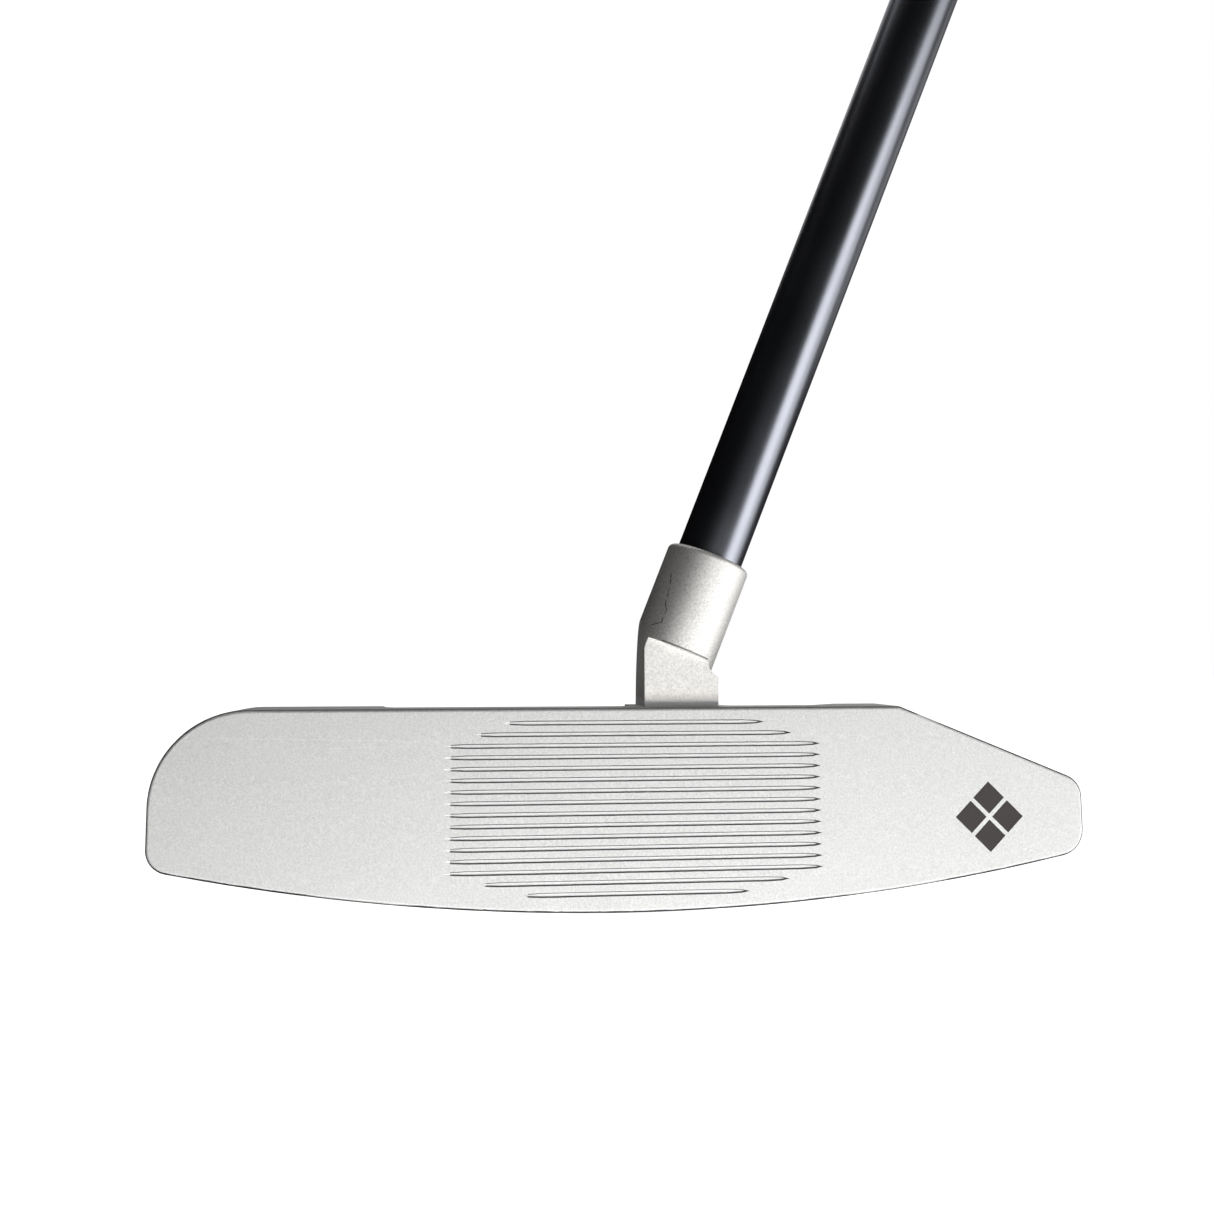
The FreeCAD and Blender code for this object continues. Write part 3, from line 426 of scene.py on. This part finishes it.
def blasted_grain(paint, swing, relief, edge_radius):
    """Tone, normal, mask of the edges, and clouds: fine speckle over larger, faint clouds."""
    fine = paint.noise(FINE_GRAIN, detail=2.0, roughness=0.7)
    coarse = paint.noise(COARSE_GRAIN, detail=1.0)
    clouds = paint.noise(CLOUD_SIZE, detail=3.0)
    normal, edge = paint.soft_edges(edge_radius)
    normal = paint.bump(fine, relief, normal)
    normal = paint.bump(coarse, relief, normal)
    tone = paint.linear(fine, *WIDE_NOISE, 1 - swing, 1 + swing)
    weak = COARSE_SHARE * swing
    tone = paint.math("ADD", tone, paint.vary(coarse, -weak, weak))
    tone = paint.math("ADD", tone, paint.vary(clouds, -CLOUD_TONE, CLOUD_TONE))
    return tone, normal, edge, clouds


def head_steel():
    """Blasted stainless steel with rubbed edges and fine scratches; painted shade on the groove
    walls and the outline, painted highlights on the edges, groove floors and toe-end tips.
    """
    paint = Paint("head_steel")
    place = paint.split(paint.place)
    true = paint.true_normal()
    facing = paint.split(true)
    inward = Vector((0, math.cos(LOFT), -math.sin(LOFT)))
    deep = paint.vector("DOT_PRODUCT", paint.place, inward)
    slant = paint.math("ABSOLUTE", paint.vector("DOT_PRODUCT", true, inward))

    shallow = paint.between(deep, *GROOVE_DEPTH)
    rows = paint.between(paint.math("ABSOLUTE", place["Z"]), *ROWS_HEIGHT)
    ends = paint.between(paint.math("ABSOLUTE", place["X"]), *ENDS_LENGTH)
    field = paint.times(shallow, rows)
    wall = paint.times(field, paint.between(slant, *WALL_SLANT),
                       paint.between(facing["X"], *WALL_HEELWARD))
    bottom = paint.times(field, paint.between(slant, *FLOOR_SLANT),
                         paint.between(deep, *FLOOR_DEPTH))
    tips = paint.times(field, paint.between(facing["X"], *TIP_HEELWARD))
    front = paint.between(deep, *FACE_DEPTH)

    lit = paint.math("MAXIMUM", paint.between(facing["X"], *LIT_HEELWARD),
                     paint.between(facing["Z"], *LIT_UPWARD))
    turned = paint.between(slant, paint.choose(lit, *RIM_SLANT_START),
                           paint.choose(lit, *RIM_SLANT_FULL))
    # Mask of the painted dark outline on the rounded edges around the face.
    rim = paint.times(paint.between(deep, *RIM_DEPTH), paint.math("SUBTRACT", 1.0, rows))
    rim = paint.math("MAXIMUM", rim, paint.times(shallow, ends))
    rim = paint.times(rim, turned)

    edge_radius = paint.choose(field, *HEAD_EDGE_RADIUS)
    tone, normal, edge, clouds = blasted_grain(paint, HEAD_GRAIN, HEAD_RELIEF, edge_radius)
    # Painted highlights added to the tone: on the edges (together with their wear), the groove
    # floors and the toe-end tips.
    tone = paint.lighten(tone, edge, EDGE_WEAR_AND_HIGHLIGHT)
    tone = paint.lighten(tone, bottom, FLOOR_PAINTED_HIGHLIGHT)
    tone = paint.lighten(tone, tips, TIP_PAINTED_HIGHLIGHT)
    for start, end, strength in FACE_SCRATCHES:
        line = paint.stroke(start, end, SCRATCH_WIDE, SCRATCH_WOBBLE)
        tone = paint.lighten(tone, paint.times(front, line), SCRATCH_LIGHT * strength)
    # Painted shade: on the groove walls turned from the light, and on the face's rounded outline.
    tone = paint.darken(tone, wall, WALL_SHADE_SHARE)
    tone = paint.darken(tone, rim, paint.choose(lit, *RIM_SHADE_SHARE))
    roughness = paint.math("SUBTRACT", paint.vary(clouds, *HEAD_ROUGHNESS),
                           paint.times(edge, EDGE_POLISH))
    return paint.finish(HEAD_COLOUR, tone, roughness, 1.0, normal)


def neck_steel():
    """The same steel with stronger speckle and a crack in the hosel's coating; painted warm shade
    and painted light at the foot, and a painted shadow under the step.
    """
    paint = Paint("neck_steel")
    place = paint.split(paint.place)
    tone, normal, edge, clouds = blasted_grain(paint, NECK_GRAIN, NECK_RELIEF, NECK_EDGE_RADIUS)
    # Edges: partly wear, partly painted highlight.
    tone = paint.lighten(tone, edge, NECK_EDGE_WEAR_AND_HIGHLIGHT)
    on_front = paint.between(place["Y"], *FRONT_HALF)
    gaps = paint.between(paint.noise(CRACK_GAPS, detail=1.0), *CRACK_GAP_SPAN)
    for start, end in zip(HOSEL_CRACK, HOSEL_CRACK[1:]):
        line = paint.stroke(start, end, CRACK_WIDE, CRACK_WOBBLE)
        tone = paint.darken(tone, paint.times(on_front, line, gaps), CRACK_SHARE)
    # Painted shadow under the step of the neck.
    line = paint.stroke(*STEP_SHADOW_ENDS, STEP_SHADOW_WIDE)
    tone = paint.darken(tone, paint.times(on_front, line), STEP_SHADOW_SHARE)
    # Painted light on the lowest part of the neck, where the head's top shades it.
    tone = paint.times(tone, paint.between(place["Z"], *FOOT_PAINTED_LIGHT, 1.0, FOOT_LIGHT_GAIN))
    # Painted warm shade near the foot, close under the head's top.
    foot = paint.between(place["Z"], *FOOT_WARM_SHADE)
    colour = paint.blend(foot, NECK_COLOUR, NECK_FOOT_SHADE_COLOUR)
    return paint.finish(colour, tone, paint.vary(clouds, *NECK_ROUGHNESS), 1.0, normal)


# ---------------------------------------------------------------- other materials

SOFT_RADIUS = 0.2 * MM           # edges of the small parts
ROUGH_SWING = 0.06

TURNED_GRAIN = 0.1 * MM
TURNED_RELIEF = 0.003 * MM
TURNED_TONE = (0.93, 1.03)
TURNED_CLOUDS = 4 * MM
# Partly edge wear, partly painted highlight.
TURNED_EDGE_WEAR_AND_HIGHLIGHT = 0.2

SHAFT_COLOUR = (0.31, 0.32, 0.36)
SHAFT_GRAIN = 0.12 * MM
SHAFT_RELIEF = 0.0025 * MM
SHAFT_TONE = (0.88, 1.12)
SHAFT_WAVES = 1.2 * MM           # faint waves of the coating
SHAFT_WAVE_RELIEF = 0.002 * MM
SHAFT_CLOUDS = 14 * MM
SHAFT_ROUGHNESS = (0.27, 0.31)

PORE = 0.3 * MM
PORE_RELIEF = 0.03               # height of the pores against their size
PORE_TONE = (0.9, 1.1)
MOULDED_CLOUDS = 6 * MM
MOULDED_CLOUD_TONE = 0.06
# Partly edge wear, partly painted highlight.
MOULDED_EDGE_WEAR_AND_HIGHLIGHT = 0.25


def turned_steel(name, colour, rough):
    """Satin turned or ground steel with a fine, even grain; its edges are brighter from wear and a
    painted highlight.
    """
    paint = Paint(name)
    grain = paint.noise(TURNED_GRAIN)
    clouds = paint.noise(TURNED_CLOUDS)
    normal, edge = paint.soft_edges(SOFT_RADIUS)
    normal = paint.bump(grain, TURNED_RELIEF, normal)
    tone = paint.lighten(paint.vary(grain, *TURNED_TONE), edge, TURNED_EDGE_WEAR_AND_HIGHLIGHT)
    roughness = paint.vary(clouds, rough - ROUGH_SWING, rough + ROUGH_SWING)
    return paint.finish(colour, tone, roughness, 1.0, normal)


def shaft_black():
    """Satin black coating on steel, with a very fine sparkle."""
    paint = Paint("shaft_black")
    grain = paint.noise(SHAFT_GRAIN, roughness=0.7)
    waves = paint.noise(SHAFT_WAVES, detail=1.0)
    clouds = paint.noise(SHAFT_CLOUDS)
    normal = paint.bump(grain, SHAFT_RELIEF)
    normal = paint.bump(waves, SHAFT_WAVE_RELIEF, normal)
    tone = paint.linear(grain, *WIDE_NOISE, *SHAFT_TONE)
    return paint.finish(SHAFT_COLOUR, tone, paint.vary(clouds, *SHAFT_ROUGHNESS), 1.0, normal)


def moulded(name, colour, rough, size=PORE):
    """Matt moulded or painted stuff: fine pores, slow changes of tone, and edges brighter from
    wear and a painted highlight.
    """
    paint = Paint(name)
    pores = paint.noise(size, detail=3.0, roughness=0.6)
    clouds = paint.noise(MOULDED_CLOUDS, detail=3.0)
    normal, edge = paint.soft_edges(SOFT_RADIUS)
    normal = paint.bump(pores, PORE_RELIEF * size, normal)
    tone = paint.lighten(paint.vary(pores, *PORE_TONE), edge, MOULDED_EDGE_WEAR_AND_HIGHLIGHT)
    tone = paint.math("ADD", tone, paint.vary(clouds, -MOULDED_CLOUD_TONE, MOULDED_CLOUD_TONE))
    roughness = paint.vary(clouds, rough - ROUGH_SWING, rough + ROUGH_SWING)
    return paint.finish(colour, tone, roughness, 0.0, normal)


def make_materials():
    """Every material slot of the record, with its material."""
    return {
        "head_steel": head_steel(),
        "neck_steel": neck_steel(),
        "weight_steel": turned_steel("weight_steel", (0.58, 0.58, 0.57), 0.35),
        "fastener_steel": turned_steel("fastener_steel", (0.14, 0.14, 0.15), 0.42),
        "dowel_steel": turned_steel("dowel_steel", (0.62, 0.62, 0.62), 0.25),
        "paint_fill": moulded("paint_fill", (0.055, 0.045, 0.043), 0.5, 0.2 * MM),
        "seal_rubber": moulded("seal_rubber", (0.03, 0.03, 0.03), 0.7),
        "shaft_black": shaft_black(),
        "adhesive": moulded("adhesive", (0.25, 0.22, 0.15), 0.4),
        "cork": moulded("cork", (0.42, 0.26, 0.13), 0.85, 0.8 * MM),
        "tape": moulded("tape", (0.55, 0.50, 0.38), 0.7),
        "grip_rubber": moulded("grip_rubber", (0.028, 0.028, 0.03), 0.62),
        "grip_inner": moulded("grip_inner", (0.06, 0.06, 0.065), 0.8),
        "cap_rubber": moulded("cap_rubber", (0.028, 0.028, 0.03), 0.62),
    }


def dress_nodes(materials):
    for part in frame["record"]["subparts"]:
        node = NODES[part["node"]]
        node.data.materials.clear()
        node.data.materials.append(materials[part["material_slot"]])


# ---------------------------------------------------------------- grip

GRIP_ROUND = 300                 # points around the grip
GRIP_ALONG = 620                 # rings on its outside, from its mouth to its cap
INNER_ALONG = 12                 # rings on its inside
SKIN = 1.35 * MM                 # the outer layer's thickness
CUT = 0.34 * MM                  # depth of the moulded pattern
LOZENGES = 22                    # lozenges around the grip
LOZENGE_LONG = 7.5 * MM
LOZENGE_LINE = 0.13              # half width of their lines, as a share of their spacing
RIB_PITCH = 2.0 * MM             # ribs across the thumb flat
RIB_LINE = 0.42
RIB_CUT = 0.75                   # their depth as a share of the full depth
PLAIN_ENDS = 7 * MM              # smooth collars at both ends
ENDS_FADE = 1 * MM
RING_INSET = 1.2 * MM            # a ring groove lies this far inside each collar's edge
RING_LINE = 0.7 * MM             # its half width
FLAT_HALF = math.radians(36)     # half angle of the thumb flat, about the toe side
FLAT_FADES = (0.04, 0.10)        # each pattern stops between these angles from the flat's edge
MOUTH_INSET = 0.6 * MM           # the mouth is rounded in by this much
MOUTH_ROUND = 0.8 * MM           # over this length
RAY_START = 40 * MM              # rays that find the grip start this far from its axis
RAY_KEEP = 0.05 * MM             # and stay this far inside its ends


def middle(node):
    low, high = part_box(node)
    return (low + high) / 2


def shaft_frame():
    """A point of the shaft axis, its direction, the heel side and the back, as unit vectors."""
    start = middle("shaft_tip_plug")
    along = (middle("grip_tape") - start).normalized()
    back = Vector((0, 1, 0))
    return start, along, back.cross(along), back


def clamp(value, low, high):
    return min(max(value, low), high)


def step(value, low, high):
    share = clamp((value - low) / (high - low), 0.0, 1.0)
    return share * share * (3 - 2 * share)


def groove(phase, wide):
    """Rounded valley once per unit of phase: 1 at its bottom, 0 outside its width."""
    off = abs(phase - round(phase)) / wide
    return 0.0 if off >= 1 else (1 - off * off) ** 2


def pattern(turn, height, tall):
    """Share of the full depth that is moulded away at a point of the grip."""
    from_top = tall - height
    ends = (step(height, PLAIN_ENDS, PLAIN_ENDS + ENDS_FADE)
            * step(from_top, PLAIN_ENDS, PLAIN_ENDS + ENDS_FADE))
    rib = groove(height / RIB_PITCH, RIB_LINE)
    around = turn / (2 * math.pi) * LOZENGES
    rise = height / LOZENGE_LONG
    lozenge = max(groove(around / 2 + rise, LOZENGE_LINE), groove(around / 2 - rise, LOZENGE_LINE))
    near, far = FLAT_FADES
    from_flat = abs(abs(turn) - math.pi)
    on_flat = 1 - step(from_flat, FLAT_HALF - far, FLAT_HALF - near)
    off_flat = step(from_flat, FLAT_HALF + near, FLAT_HALF + far)
    ring = PLAIN_ENDS - RING_INSET
    rings = max(groove((height - ring) / tall, RING_LINE / tall),
                groove((from_top - ring) / tall, RING_LINE / tall))
    return max(ends * on_flat * rib * RIB_CUT, ends * off_flat * lozenge, rings)


def grip_rings(count, inset):
    """Rings of points on the outside of the grip's solid, moved in by a function of the place."""
    start, along, heel, back = shaft_frame()
    mesh = NODES["grip_skin"].data
    tree = BVHTree.FromPolygons([v.co for v in mesh.vertices], [p.vertices for p in mesh.polygons])
    heights = [(v.co - start).dot(along) for v in mesh.vertices]
    low = min(heights)
    tall = max(heights) - low
    rings = []
    for i in range(count + 1):
        height = tall * i / count
        probe = start + along * (low + clamp(height, RAY_KEEP, tall - RAY_KEEP))
        centre = start + along * (low + height)
        ring = []
        for j in range(GRIP_ROUND):
            turn = -math.pi + 2 * math.pi * j / GRIP_ROUND
            out = heel * math.cos(turn) + back * math.sin(turn)
            hit = tree.ray_cast(probe + out * RAY_START, -out, RAY_START)
            radius = RAY_START - hit[3] - inset(turn, height, tall)
            ring.append(centre + out * radius)
        rings.append(ring)
    return rings


def outer_inset(turn, height, tall):
    """The moulded pattern, and the rounded mouth."""
    mouth = MOUTH_INSET * (1 - step(height, 0, MOUTH_ROUND))
    return CUT * pattern(turn, height, tall) + mouth


def inner_inset(turn, height, tall):
    return SKIN


def make_grip(material):
    """Outer layer of the grip as a closed shell: ribs on the thumb flat, lozenges elsewhere."""
    rings = grip_rings(GRIP_ALONG, outer_inset) + grip_rings(INNER_ALONG, inner_inset)[::-1]
    points = [point for ring in rings for point in ring]
    faces = []
    for i in range(len(rings)):
        this, following = i * GRIP_ROUND, (i + 1) % len(rings) * GRIP_ROUND
        for j in range(GRIP_ROUND):
            beside = (j + 1) % GRIP_ROUND
            faces.append((this + j, this + beside, following + beside, following + j))
    mesh = bpy.data.meshes.new("grip_surface")
    mesh.from_pydata(points, [], faces)
    mesh.polygons.foreach_set("use_smooth", [True] * len(mesh.polygons))
    mesh.materials.append(material)
    mesh.validate()
    piece = link(bpy.data.objects.new("grip_surface", mesh))
    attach(piece, "root")
    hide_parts("grip_skin")


# ---------------------------------------------------------------- everything


SCENE.view_settings.view_transform = "Standard"
make_camera()
make_world()
make_lights()
make_floor()
MATERIALS = make_materials()
dress_nodes(MATERIALS)
make_grip(MATERIALS["grip_rubber"])
